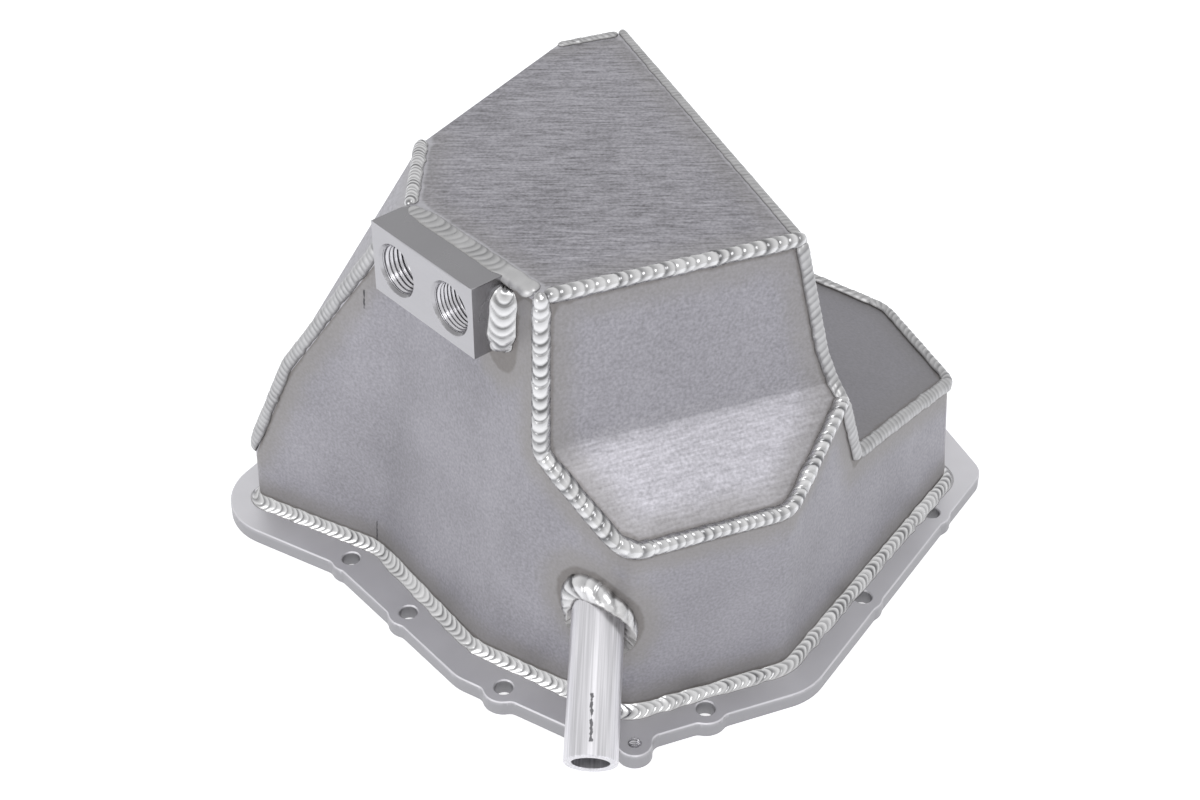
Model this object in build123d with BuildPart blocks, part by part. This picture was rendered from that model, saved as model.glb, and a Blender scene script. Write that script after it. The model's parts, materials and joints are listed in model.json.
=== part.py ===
"""Fabricated engine oil pan: bent and folded aluminium sheet, welded up on a machined flange.

The pan stands as it does on a bench, upside down on its flange with the sump pointing up. The
origin is on the gasket face, on the axis of the front bolt hole. +X runs along the flange's
straight front edge, +Y runs to the back of the pan and +Z up. Sizes are in millimetres.
"""

from build123d import *

import os
from math import atan2, cos, degrees, radians, sin

# Stock
SHEET = 3.0
FLANGE_THICKNESS = 6.35
FLANGE_LIP = 15.0
FLANGE_LEDGE = 5.0
FLANGE_EDGE_BREAK = 0.5

# Heights above the flange's upper face
SUMP_HEIGHT = 164.0
FRONT_FOLD_HEIGHT = 105.0
SHELF_FOOT_HEIGHT = 78.0
SIDE_FOLD_HEIGHT = 118.0
WING_ROOT_HEIGHT = 66.5
WING_END_HEIGHT = 46.0

# Depths from the datum hole, towards the back
FRONT_WALL_Y = 7.7
FRONT_FOLD_Y = 38.7
PANEL_TOP_Y = 46.7
WING_CORNER_Y = 82.7
WING_REAR_Y = 145.0
BACK_WALL_Y = 207.7

# Widths from the datum hole, to the right
SIDE_TOP_X = 51.3
SIDE_FOLD_X = 59.6
SIDE_FOOT_X = 76.7
WING_END_X = 146.6
BACK_CORNER_X = 84.0
REAR_CORNER_X = -80.5

# Plan of the side wall at its foot, corner by corner, and at the height of the sump's floor
LEFT_REAR = (-124.0, 176.5)
LEFT_BEND = (-85.0, 128.5)
PORT_BEND = (-68.0, 61.5)
FRONT_LEFT_X = -29.0
FRONT_RIGHT_X = 35.6
LEFT_REAR_HEAD = (-118.8, 180.2)
PORT_HEAD = (-66.9, 116.7)
NOSE_HEAD = (-37.9, 27.7)
FRONT_LEFT_HEAD_X = -31.4
FRONT_RIGHT_HEAD_X = 31.6
WING_CORNER_HEAD_Y = 105.7
BEND_RADII = (5.0, 25.0, 30.0, 14.0, 14.0, 9.0, 12.0, 0.0, 0.0)

# The sheet that folds down behind the sump's floor, and its cut corner
FLOOR_CORNER = (-50.9, 154.7)
FLOOR_FOLD_DIRECTION = (0.813, 0.582)
BACK_RUN_PER_DROP = 0.435
CORNER_RUN_PER_DROP = 0.62

# Flange outline where it isn't a plain lip round the wall
LEFT_EDGE_BEND = (-104.7, 126.8)
PORT_EDGE_BEND = (-79.6, 48.9)
FRONT_EDGE_Y = -5.8
FRONT_EDGE_LEFT_X = -38.6
FRONT_EDGE_RIGHT_X = 40.6
RIGHT_EDGE_X = 163.1
RIGHT_EDGE_FRONT_Y = 81.3
FLANGE_CORNER_RADII = (27.0, 12.0, 18.0, 6.0, 25.0, 12.0, 20.0, 20.0, 20.0)

# Flange holes
BOSS_RADIUS = 8.0
BOSS_BLEND = 4.0
BOLT_HOLE = 7.0
BOLT_HOLE_BREAK = 0.5
BOLT_HOLES = (
    (-97.5, 127.0),
    (-85.7, 89.0),
    (-65.1, 37.5),
    (0.0, 0.0),
    (81.0, 31.9),
    (130.2, 66.5),
)
BACK_BOLT_HOLES = (
    (154.4, 118.0),
    (119.0, 183.6),
    (60.0, 215.4),
    (-10.0, 215.4),
    (-104.6, 199.9),
)
EAR_HOLE = (-30.7, -6.3)
EAR_RADIUS = 6.5
EAR_THREAD_DRILL = 5.0

# Port block
BLOCK_LENGTH = 56.2
BLOCK_HEIGHT = 28.5
BLOCK_STANDOFF = 14.5
BLOCK_SPARE = 20.0
BLOCK_CENTRE = (-73.0, 85.65)
BLOCK_HEADING = 109.3
PORT_SPACING = 30.0
PORT_DROP = 14.4
PIPE_PORT_DRILL = 18.3
METRIC_PORT_DRILL = 18.5
PORT_BREAK = 1.0

# Tube stub
TUBE_OUTSIDE = 19.05
TUBE_BORE = 13.4
TUBE_AT_WALL = (-36.3, 15.3, 50.75)
TUBE_HEADING = -114.7
TUBE_DIP = 25.9
TUBE_REACH = 53.0
TUBE_INSIDE = 12.0
TUBE_EDGE_BREAK = 0.4

# Weld beads: each ripple swells from its radius less RIPPLE to its radius
SEAM_BEAD = 3.5
EDGE_BEAD = 2.6
FLANGE_BEAD = 4.0
COLLAR_BEAD = 4.5
BLOCK_BEAD = 7.5
BLOCK_BEAD_SINK = 6.0
RIPPLE = 0.6
BALL_RELIEF = 0.35
BALL_REACH = 0.62
BALL_TAPER = 32.0
BEAD_GAP = 0.1
BEAD_SET = (0.05, 0.04, -0.06)
BEAD_SIDES = 8
SEAM_PITCH = 7.0
FLANGE_PITCH = 10.0
BEND_CHORD = 8.0
SHORTEST_RUN = 2.0
BEND_ANGLE = 4.0
NOSE_X = -23.2
WING_END_TURN = 5.0

DEEP = 600.0
ON_SEAM = 0.05
STRAIGHT_ENOUGH = 0.5

SUMP_TOP = FLANGE_THICKNESS + SUMP_HEIGHT

WALL_FOOT = (
    LEFT_REAR,
    LEFT_BEND,
    PORT_BEND,
    (FRONT_LEFT_X, FRONT_WALL_Y),
    (FRONT_RIGHT_X, FRONT_WALL_Y),
    (WING_END_X, WING_CORNER_Y),
    (WING_END_X, WING_REAR_Y),
    (BACK_CORNER_X, BACK_WALL_Y),
    (REAR_CORNER_X, BACK_WALL_Y),
)
WALL_HEAD = (
    LEFT_REAR_HEAD,
    PORT_HEAD,
    NOSE_HEAD,
    (FRONT_LEFT_HEAD_X, FRONT_WALL_Y),
    (FRONT_RIGHT_HEAD_X, FRONT_WALL_Y),
    (WING_END_X, WING_CORNER_HEAD_Y),
    (WING_END_X, WING_REAR_Y),
    (BACK_CORNER_X, BACK_WALL_Y),
    (REAR_CORNER_X, BACK_WALL_Y),
)


def level(height):
    """Height above the gasket face of a height above the flange's upper face."""
    return FLANGE_THICKNESS + height


def beyond(start, end, distance=DEEP):
    """The point that lies a distance past end, on the line from start."""
    run = Vector(*end) - Vector(*start)
    return tuple(Vector(*end) + run.normalized() * distance)[:2]


def side_of(start, end, inset):
    """One side of a plan, moved in to its left."""
    along = (Vector(*end) - Vector(*start)).normalized()
    shift = Vector(-along.Y, along.X) * inset
    return Vector(*start) + shift, along


def inset_plan(plan, inset):
    """A plan with each side moved in by one distance, and its corners where the sides then meet."""
    corners = []
    for i, corner in enumerate(plan):
        before, along = side_of(plan[i - 1], corner, inset)
        after, leaving = side_of(corner, plan[(i + 1) % len(plan)], inset)
        turn = along.X * leaving.Y - along.Y * leaving.X
        gap = after - before
        reach = (gap.X * leaving.Y - gap.Y * leaving.X) / turn
        corners.append(tuple(before + along * reach)[:2])
    return corners


def is_hollow(plan, i):
    """True at a corner where the plan bends inwards."""
    before = Vector(*plan[i]) - Vector(*plan[i - 1])
    after = Vector(*plan[(i + 1) % len(plan)]) - Vector(*plan[i])
    return before.X * after.Y - before.Y * after.X < 0


def bend_radii(plan, inset):
    """Each bend's radius on the outside, or on a line set in by one distance."""
    return [
        radius and radius + (inset if is_hollow(plan, i) else -inset)
        for i, radius in enumerate(BEND_RADII)
    ]


# The planes of the folded sheet: the sump's floor, its sloping back and the cut corner
fold_along = Vector(*FLOOR_FOLD_DIRECTION).normalized()
fold_out = Vector(-fold_along.Y, fold_along.X)
floor_corner = Vector(*FLOOR_CORNER, SUMP_TOP)
back_plane = Plane(floor_corner, x_dir=fold_along, z_dir=fold_out + Vector(0, 0, BACK_RUN_PER_DROP))
cut_along = (Vector(*PORT_HEAD) - Vector(*FLOOR_CORNER)).normalized()
cut_out = Vector(cut_along.Y, -cut_along.X)
corner_tilt = cut_out + Vector(0, 0, CORNER_RUN_PER_DROP)
corner_plane = Plane(floor_corner, x_dir=cut_along, z_dir=corner_tilt)


# Profiles of the front panel, as (depth, height), and of the side panel and wing, as (x, height)
FRONT_PROFILE = (
    (PANEL_TOP_Y, level(SUMP_HEIGHT)),
    (FRONT_FOLD_Y, level(FRONT_FOLD_HEIGHT)),
    (FRONT_WALL_Y, level(SHELF_FOOT_HEIGHT)),
)
SIDE_PROFILE = (
    (SIDE_TOP_X, level(SUMP_HEIGHT)),
    (SIDE_FOLD_X, level(SIDE_FOLD_HEIGHT)),
    (SIDE_FOOT_X, level(WING_ROOT_HEIGHT)),
    (WING_END_X, level(WING_END_HEIGHT)),
)


def relief_of(profile, sketch_plane, outer_corner, inset):
    """Everything outside a folded profile, grown inwards by one distance."""
    with BuildPart() as relief:
        with BuildSketch(sketch_plane):
            Polygon(
                beyond(profile[1], profile[0]),
                *profile[1:-1],
                beyond(profile[-2], profile[-1]),
                outer_corner,
                align=None,
            )
            offset(amount=inset, kind=Kind.INTERSECTION)
        extrude(amount=DEEP, both=True)
    return relief.part


def front_relief(inset):
    """Everything before the folded front panel, down to its shelf."""
    return relief_of(FRONT_PROFILE, Plane.YZ, (-DEEP, DEEP), inset)


def side_relief(inset):
    """Everything to the right of the sump's side panel, down to the wing's top."""
    return relief_of(SIDE_PROFILE, Plane.XZ, (DEEP, DEEP), inset)


def folded_relief(inset):
    """Everything above the folded sheet: over the floor, behind the back and past the corner."""
    with BuildPart() as relief:
        for plane in (Plane.XY.offset(SUMP_TOP), back_plane, corner_plane):
            with BuildSketch(plane.offset(-inset)):
                Rectangle(2 * DEEP, 2 * DEEP)
            extrude(amount=DEEP)
    return relief.part


def pan_form(inset):
    """The pan's outside form above the flange, or that form set in by one distance."""
    with BuildPart() as form:
        for height, plan in ((0, WALL_FOOT), (SUMP_HEIGHT, WALL_HEAD)):
            with BuildSketch(Plane.XY.offset(level(height))):
                with BuildLine():
                    FilletPolyline(
                        inset_plan(plan, inset), radius=bend_radii(plan, inset), close=True
                    )
                make_face()
        loft(ruled=True)
        add(folded_relief(inset), mode=Mode.SUBTRACT)
        add(front_relief(inset), mode=Mode.SUBTRACT)
        add(side_relief(inset), mode=Mode.SUBTRACT)
    return form.part


def keep_with(stock, cutter):
    """The stock that lies inside a cutter."""
    with BuildPart() as kept:
        add(stock)
        add(cutter, mode=Mode.INTERSECT)
    return kept.part


def trim(stock, *cutters):
    """The stock that lies outside all the cutters."""
    with BuildPart() as left:
        add(stock)
        for cutter in cutters:
            add(cutter, mode=Mode.SUBTRACT)
    return left.part


def save(part, name):
    """Label a finished piece and write it under its name."""
    part.label = name
    export_step(part, f"parts/{name}.step")
    pieces[name] = part


pieces = {}
os.makedirs("parts", exist_ok=True)
outside = pan_form(0)

# Port block, squared to the floor's edge and seated on the wall
block_plane = Plane(
    Vector(*BLOCK_CENTRE, SUMP_TOP - BLOCK_HEIGHT / 2),
    x_dir=Vector(cos(radians(BLOCK_HEADING)), sin(radians(BLOCK_HEADING))),
    z_dir=Vector(-sin(radians(BLOCK_HEADING)), cos(radians(BLOCK_HEADING))),
)
PORTS = (
    (PORT_SPACING / 2, PIPE_PORT_DRILL / 2),
    (-PORT_SPACING / 2, METRIC_PORT_DRILL / 2),
)
port_height = PORT_DROP - BLOCK_HEIGHT / 2

with BuildPart() as port_holes:
    for place, radius in PORTS:
        with BuildSketch(block_plane):
            with Locations((place, port_height)):
                Circle(radius)
        extrude(amount=-(BLOCK_STANDOFF + BLOCK_SPARE))

with BuildPart() as block:
    with BuildSketch(block_plane):
        Rectangle(BLOCK_LENGTH, BLOCK_HEIGHT)
    extrude(amount=-(BLOCK_STANDOFF + BLOCK_SPARE))
    add(port_holes.part, mode=Mode.SUBTRACT)
    mouths = block.faces().sort_by(Axis(block_plane.origin, block_plane.z_dir))[-1].inner_wires()
    chamfer(mouths.edges(), PORT_BREAK)
    add(outside, mode=Mode.SUBTRACT)
save(block.part, "port_block")

# Tube stub, dipping through the wall beside the nose
tube_axis = Vector(
    cos(radians(TUBE_HEADING)) * cos(radians(TUBE_DIP)),
    sin(radians(TUBE_HEADING)) * cos(radians(TUBE_DIP)),
    -sin(radians(TUBE_DIP)),
)
tube_plane = Plane(Vector(*TUBE_AT_WALL) - tube_axis * TUBE_INSIDE, z_dir=tube_axis)
with BuildPart() as tube_rod:
    with BuildSketch(tube_plane):
        Circle(TUBE_OUTSIDE / 2)
    extrude(amount=TUBE_INSIDE + TUBE_REACH)
with BuildPart() as tube:
    add(tube_rod.part)
    with BuildSketch(tube_plane):
        Circle(TUBE_BORE / 2)
    extrude(amount=TUBE_INSIDE + TUBE_REACH, mode=Mode.SUBTRACT)
    mouth = tube.faces().sort_by(Axis(tube_plane.origin, tube_axis))[-1]
    chamfer(mouth.edges(), TUBE_EDGE_BREAK)
save(tube.part, "tube_stub")

# Flange plate: the wall's plan with a lip, scalloped bosses, an ear and a clear middle
lip = inset_plan(WALL_FOOT, -FLANGE_LIP)
FLANGE_OUTLINE = (
    lip[0],
    LEFT_EDGE_BEND,
    PORT_EDGE_BEND,
    (FRONT_EDGE_LEFT_X, FRONT_EDGE_Y),
    (FRONT_EDGE_RIGHT_X, FRONT_EDGE_Y),
    (RIGHT_EDGE_X, RIGHT_EDGE_FRONT_Y),
    (RIGHT_EDGE_X, lip[6][1]),
    lip[7],
    lip[8],
)
with BuildPart() as flange:
    with BuildSketch():
        with BuildLine():
            FilletPolyline(FLANGE_OUTLINE, radius=FLANGE_CORNER_RADII, close=True)
        make_face()
        with Locations(*BOLT_HOLES):
            Circle(BOSS_RADIUS)
        with Locations(EAR_HOLE):
            Circle(EAR_RADIUS)
        offset(amount=BOSS_BLEND)
        offset(amount=-BOSS_BLEND)
    extrude(amount=FLANGE_THICKNESS)
    chamfer(flange.faces().sort_by(Axis.Z)[-1].edges(), FLANGE_EDGE_BREAK)
    with BuildSketch():
        with BuildLine():
            FilletPolyline(
                inset_plan(WALL_FOOT, FLANGE_LEDGE),
                radius=bend_radii(WALL_FOOT, FLANGE_LEDGE),
                close=True,
            )
        make_face()
    extrude(amount=FLANGE_THICKNESS, mode=Mode.SUBTRACT)
    with Locations(Plane.XY.offset(FLANGE_THICKNESS)):
        with Locations(*BOLT_HOLES):
            CounterSinkHole(BOLT_HOLE / 2, BOLT_HOLE / 2 + BOLT_HOLE_BREAK, FLANGE_THICKNESS)
        with Locations(*BACK_BOLT_HOLES):
            Hole(BOLT_HOLE / 2, FLANGE_THICKNESS)
        with Locations(EAR_HOLE):
            Hole(EAR_THREAD_DRILL / 2, FLANGE_THICKNESS)
save(flange.part, "flange_plate")

# The sheets, taken from one thin shell in the order in which they lap at the edges
shell = trim(outside, pan_form(SHEET))
folded = folded_relief(SHEET)
front = front_relief(SHEET)
side = side_relief(SHEET)
save(keep_with(shell, folded), "floor_and_back_panel")
shell = trim(shell, folded)
save(keep_with(shell, front), "folded_front_panel")
shell = trim(shell, front)
right_sheets = keep_with(shell, side)
shell = trim(shell, side)
wing_plane = Plane((SIDE_FOOT_X, 0, 0), z_dir=(1, 0, 0))
back_wall_plane = Plane((0, BACK_WALL_Y - SHEET, 0), z_dir=(0, 1, 0))
with BuildPart() as side_panel:
    add(right_sheets)
    split(bisect_by=wing_plane, keep=Keep.BOTTOM)
save(side_panel.part, "sump_side_panel")
with BuildPart() as wing_top:
    add(right_sheets)
    split(bisect_by=wing_plane, keep=Keep.TOP)
save(wing_top.part, "wing_top")
with BuildPart() as back_wall:
    add(shell)
    split(bisect_by=back_wall_plane, keep=Keep.TOP)
save(back_wall.part, "back_wall")
with BuildPart() as side_wall:
    add(shell)
    split(bisect_by=back_wall_plane, keep=Keep.BOTTOM)
    add(tube_rod.part, mode=Mode.SUBTRACT)
    add(port_holes.part, mode=Mode.SUBTRACT)
save(side_wall.part, "bent_side_wall")


# The outside form's faces, grouped by the sheet that they belong to
def faces_on(*planes):
    """The faces of the outside form that lie in any of the planes."""
    return ShapeList(
        face
        for face in outside.faces()
        if any(
            all(
                abs(plane.to_local_coords(corner.center()).Z) < ON_SEAM
                for corner in face.vertices()
            )
            for plane in planes
        )
    )


def leaves(profile, along):
    """The planes of a folded panel, each through two points of its profile."""
    corners = [Vector(0, y, z) if along == Axis.X else Vector(y, 0, z) for y, z in profile]
    return [
        Plane(a, x_dir=along.direction, z_dir=along.direction.cross(b - a))
        for a, b in zip(corners, corners[1:])
    ]


front_leaves = leaves(FRONT_PROFILE, Axis.X)
*side_leaves, wing_leaf = leaves(SIDE_PROFILE, Axis.Y)
floor_faces = faces_on(Plane.XY.offset(SUMP_TOP))
foot_faces = faces_on(Plane.XY.offset(FLANGE_THICKNESS))
front_faces = faces_on(*front_leaves)
side_faces = faces_on(*side_leaves)
wing_faces = faces_on(wing_leaf)
corner_faces = faces_on(corner_plane)
slope_faces = faces_on(back_plane)
back_faces = faces_on(Plane.XZ.offset(-BACK_WALL_Y))
named_faces = floor_faces + foot_faces + front_faces + side_faces + wing_faces
named_faces += corner_faces + slope_faces + back_faces
wall_faces = ShapeList(face for face in outside.faces() if face not in named_faces)


def seam(one, other):
    """The edges that two groups of faces share."""
    return one.edges() & other.edges()


def is_straight(edge):
    """True if an edge's middle lies on the line between its ends."""
    return ((edge @ 0 + edge @ 1) / 2 - edge @ 0.5).length < STRAIGHT_ENOUGH


def ripples(start, end, radius, pitch=None):
    """One straight run of a bead: many-sided rings that each swell to the bead's radius."""
    length = (end - start).length
    count = max(1, round(length / pitch)) if pitch else 1
    swell = RIPPLE if pitch else 0
    with BuildPart() as ring:
        with BuildSketch():
            RegularPolygon(radius - swell, BEAD_SIDES)
        extrude(amount=length / count, taper=-degrees(atan2(swell, length / count)))
    with BuildPart() as run:
        with Locations(*[(0, 0, i * length / count) for i in range(count)]):
            add(ring.part)
    return Plane(start, z_dir=end - start).location * run.part


def bead_runs(edges, sink):
    """The straight runs of a bead's centre line, with a bend as a few chords."""
    runs = []
    for edge in Wire.combine(edges)[0].order_edges():
        chords = 1 if is_straight(edge) else max(2, round(edge.length / BEND_CHORD))
        stations = [edge @ (i / chords) + Vector(*sink) for i in range(chords + 1)]
        runs += zip(stations, stations[1:])
    return [(start, end) for start, end in runs if (end - start).length > SHORTEST_RUN]


def string_out(runs, radius, pitch=None):
    """The runs of a bead, with a many-sided ball at its ends and in its bends."""
    with BuildPart() as ball:
        with BuildSketch():
            RegularPolygon(radius - BALL_RELIEF, BEAD_SIDES)
        extrude(amount=radius * BALL_REACH, both=True, taper=BALL_TAPER)
    bends = [
        Plane(end, z_dir=end - start)
        for (start, end), (after, onward) in zip(runs, runs[1:])
        if (end - start).get_angle(onward - after) > BEND_ANGLE
    ]
    (first, second), (before, last) = runs[0], runs[-1]
    with BuildPart() as string:
        for start, end in runs:
            add(ripples(start, end, radius, pitch))
        with Locations(
            Plane(first, z_dir=second - first), *bends, Plane(last, z_dir=last - before)
        ):
            add(ball.part)
    return string.part


def weld(name, edges, radius, pitch=None, sink=BEAD_SET):
    """Lay a bead along a seam, seated on its sheets and stopped at the beads before it."""
    runs = bead_runs(edges, sink)
    with BuildPart() as bead:
        add(string_out(runs, radius, pitch))
        if bead.part.bounding_box().min.Z < FLANGE_THICKNESS:
            split(bisect_by=Plane.XY.offset(FLANGE_THICKNESS), keep=Keep.TOP)
        for seat in (outside, block.part, tube_rod.part, *earlier):
            if seat.bounding_box().overlaps(bead.part.bounding_box()):
                add(seat, mode=Mode.SUBTRACT)
    earlier.append(string_out(runs, radius + BEAD_GAP))
    save(bead.solids().sort_by(SortBy.VOLUME)[-1], name)


def where(edges, axis, least=-DEEP, most=DEEP):
    """The edges whose middle lies between two places along an axis."""
    return ShapeList(
        edge for edge in edges if least < (edge @ 0.5 - axis.position).dot(axis.direction) < most
    )


earlier = []
front_rim = seam(front_faces, wall_faces)
left_rim = seam(corner_faces + slope_faces, wall_faces)
wing_rim = seam(wing_faces, wall_faces)
foot_rim = seam(foot_faces, wall_faces) + seam(foot_faces, back_faces)
end_rim = where(wing_rim, Axis.X, WING_END_X - WING_END_TURN)
open_rim = ShapeList(edge for edge in wing_rim if edge not in end_rim)
block_end = block.faces().sort_by(Axis(block_plane.origin, block_plane.x_dir))[0]
block_heel = block_end.edges().sort_by(Axis(block_plane.origin, block_plane.z_dir))[0]
collar = trim(tube_rod.part, outside).faces().sort_by(Axis(tube_plane.origin, tube_axis))[0]
wing_corner = Vector(WING_END_X, WING_CORNER_Y)
across = wing_corner - Vector(*LEFT_REAR)
front_half = Axis(Vector(*LEFT_REAR), Vector(-across.Y, across.X))

weld("bead_front_left", where(front_rim, Axis.X, most=NOSE_X), SEAM_BEAD, SEAM_PITCH)
weld("bead_front_foot", where(front_rim, Axis.X, NOSE_X), SEAM_BEAD, SEAM_PITCH)
weld("bead_floor_front", seam(floor_faces, front_faces), SEAM_BEAD, SEAM_PITCH)
weld("bead_front_side", seam(front_faces, side_faces), SEAM_BEAD, SEAM_PITCH)
block_sink = (0, 0, -BLOCK_BEAD_SINK)
weld("bead_block_top", seam(floor_faces, wall_faces), BLOCK_BEAD, SEAM_PITCH, block_sink)
weld("bead_block_side", [block_heel], COLLAR_BEAD, SEAM_PITCH)
weld("bead_floor_corner", seam(floor_faces, corner_faces), EDGE_BEAD, SEAM_PITCH)
weld("bead_floor_right", seam(floor_faces, side_faces), EDGE_BEAD)
weld("bead_floor_rear", seam(floor_faces, back_faces), EDGE_BEAD)
weld("bead_left_seam", where(left_rim, Axis.X, most=PORT_HEAD[0]), SEAM_BEAD)
weld("bead_back_edge", seam(slope_faces, back_faces), SEAM_BEAD)
weld("bead_wing_corner", seam(side_faces, wall_faces), SEAM_BEAD)
weld("bead_wing_root", seam(wing_faces, side_faces), SEAM_BEAD)
weld("bead_wing_front", where(open_rim, Axis.Y, most=WING_REAR_Y), SEAM_BEAD, SEAM_PITCH)
weld("bead_wing_end", end_rim, SEAM_BEAD)
weld("bead_wing_rear", where(open_rim, Axis.Y, WING_REAR_Y), SEAM_BEAD)
weld("bead_side_rear", seam(side_faces, back_faces), EDGE_BEAD)
weld("bead_tube_collar", collar.outer_wire().edges(), COLLAR_BEAD, SEAM_PITCH)
weld("bead_flange_front", where(foot_rim, front_half, most=FLANGE_BEAD), FLANGE_BEAD, FLANGE_PITCH)
weld("bead_flange_rear", where(foot_rim, front_half, FLANGE_BEAD), FLANGE_BEAD)
weld("bead_back_left", where(seam(back_faces, wall_faces), Axis.X, most=0), SEAM_BEAD)
weld("bead_back_right", where(seam(back_faces, wall_faces), Axis.X, 0), SEAM_BEAD)
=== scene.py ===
"""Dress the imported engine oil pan: aluminium sheet, rippled welds, port threads and a tube."""

from __future__ import annotations

import json
import logging
import math
from dataclasses import dataclass, field, replace
from enum import Enum
from functools import cache
from typing import Sequence

import bmesh
import bpy
import numpy as np
from bpy.types import ID, Material, Mesh, Node, NodeSocket, NodeTree, Object
from mathutils import Matrix, Vector
from mathutils.bvhtree import BVHTree
from mathutils.kdtree import KDTree

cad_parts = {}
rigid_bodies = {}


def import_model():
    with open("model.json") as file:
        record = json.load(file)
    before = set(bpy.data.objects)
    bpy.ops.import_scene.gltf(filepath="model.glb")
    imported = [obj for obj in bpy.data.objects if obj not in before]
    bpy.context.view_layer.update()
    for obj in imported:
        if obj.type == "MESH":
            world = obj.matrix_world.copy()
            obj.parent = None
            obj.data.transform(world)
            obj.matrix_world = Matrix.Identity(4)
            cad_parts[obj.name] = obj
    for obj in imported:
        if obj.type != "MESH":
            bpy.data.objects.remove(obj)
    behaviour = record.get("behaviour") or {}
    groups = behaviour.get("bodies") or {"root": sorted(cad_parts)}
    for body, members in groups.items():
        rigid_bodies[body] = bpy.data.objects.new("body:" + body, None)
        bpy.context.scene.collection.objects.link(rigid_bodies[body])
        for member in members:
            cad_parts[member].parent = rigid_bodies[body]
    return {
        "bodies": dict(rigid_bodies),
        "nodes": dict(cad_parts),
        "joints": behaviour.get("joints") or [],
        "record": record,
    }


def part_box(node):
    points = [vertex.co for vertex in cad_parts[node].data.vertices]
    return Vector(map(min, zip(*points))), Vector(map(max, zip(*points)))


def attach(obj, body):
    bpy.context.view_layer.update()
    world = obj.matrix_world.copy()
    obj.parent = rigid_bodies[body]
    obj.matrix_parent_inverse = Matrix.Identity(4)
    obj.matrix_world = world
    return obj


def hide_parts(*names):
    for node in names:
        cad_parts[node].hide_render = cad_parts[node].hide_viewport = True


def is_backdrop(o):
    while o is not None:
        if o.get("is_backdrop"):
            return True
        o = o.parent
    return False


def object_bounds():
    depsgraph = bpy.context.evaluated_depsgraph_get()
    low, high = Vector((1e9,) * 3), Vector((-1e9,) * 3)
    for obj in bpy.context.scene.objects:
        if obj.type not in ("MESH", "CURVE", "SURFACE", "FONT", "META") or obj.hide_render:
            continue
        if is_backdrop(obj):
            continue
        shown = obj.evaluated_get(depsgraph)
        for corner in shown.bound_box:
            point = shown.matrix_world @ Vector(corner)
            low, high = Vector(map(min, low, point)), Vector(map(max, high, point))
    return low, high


LOG = logging.getLogger("oil_pan")
MM = 0.001
BODY = "root"
SEED = 7

Value = "float | Signal"
Triple = "tuple[float, float, float]"
Rows = np.ndarray


class Signal:
    """A number in a shader, which Python's operators join with Math nodes."""

    def __init__(self, graph: "Graph", socket: NodeSocket) -> None:
        """Wrap one output socket of a graph."""
        self.graph = graph
        self.socket = socket

    def _math(self, operation: str, *values: Value) -> "Signal":
        """Return the result of one Math node."""
        return self.graph.signal("ShaderNodeMath", {"operation": operation}, values)

    def __add__(self, other: Value) -> "Signal":
        """Return the sum."""
        return self._math("ADD", self, other)

    def __sub__(self, other: Value) -> "Signal":
        """Return the difference."""
        return self._math("SUBTRACT", self, other)

    def __rsub__(self, other: Value) -> "Signal":
        """Return a number less this one."""
        return self._math("SUBTRACT", other, self)

    def __mul__(self, other: Value) -> "Signal":
        """Return the product."""
        return self._math("MULTIPLY", self, other)

    __radd__ = __add__
    __rmul__ = __mul__

    def larger(self, other: Value) -> "Signal":
        """Return the larger of two numbers."""
        return self._math("MAXIMUM", self, other)

    def step(self, low: float, high: float) -> "Signal":
        """Map low to 0 and high to 1, smoothly and clamped at both."""
        settings = {"interpolation_type": "SMOOTHSTEP"}
        return self.graph.signal("ShaderNodeMapRange", settings, [self, low, high, 0.0, 1.0])


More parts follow.
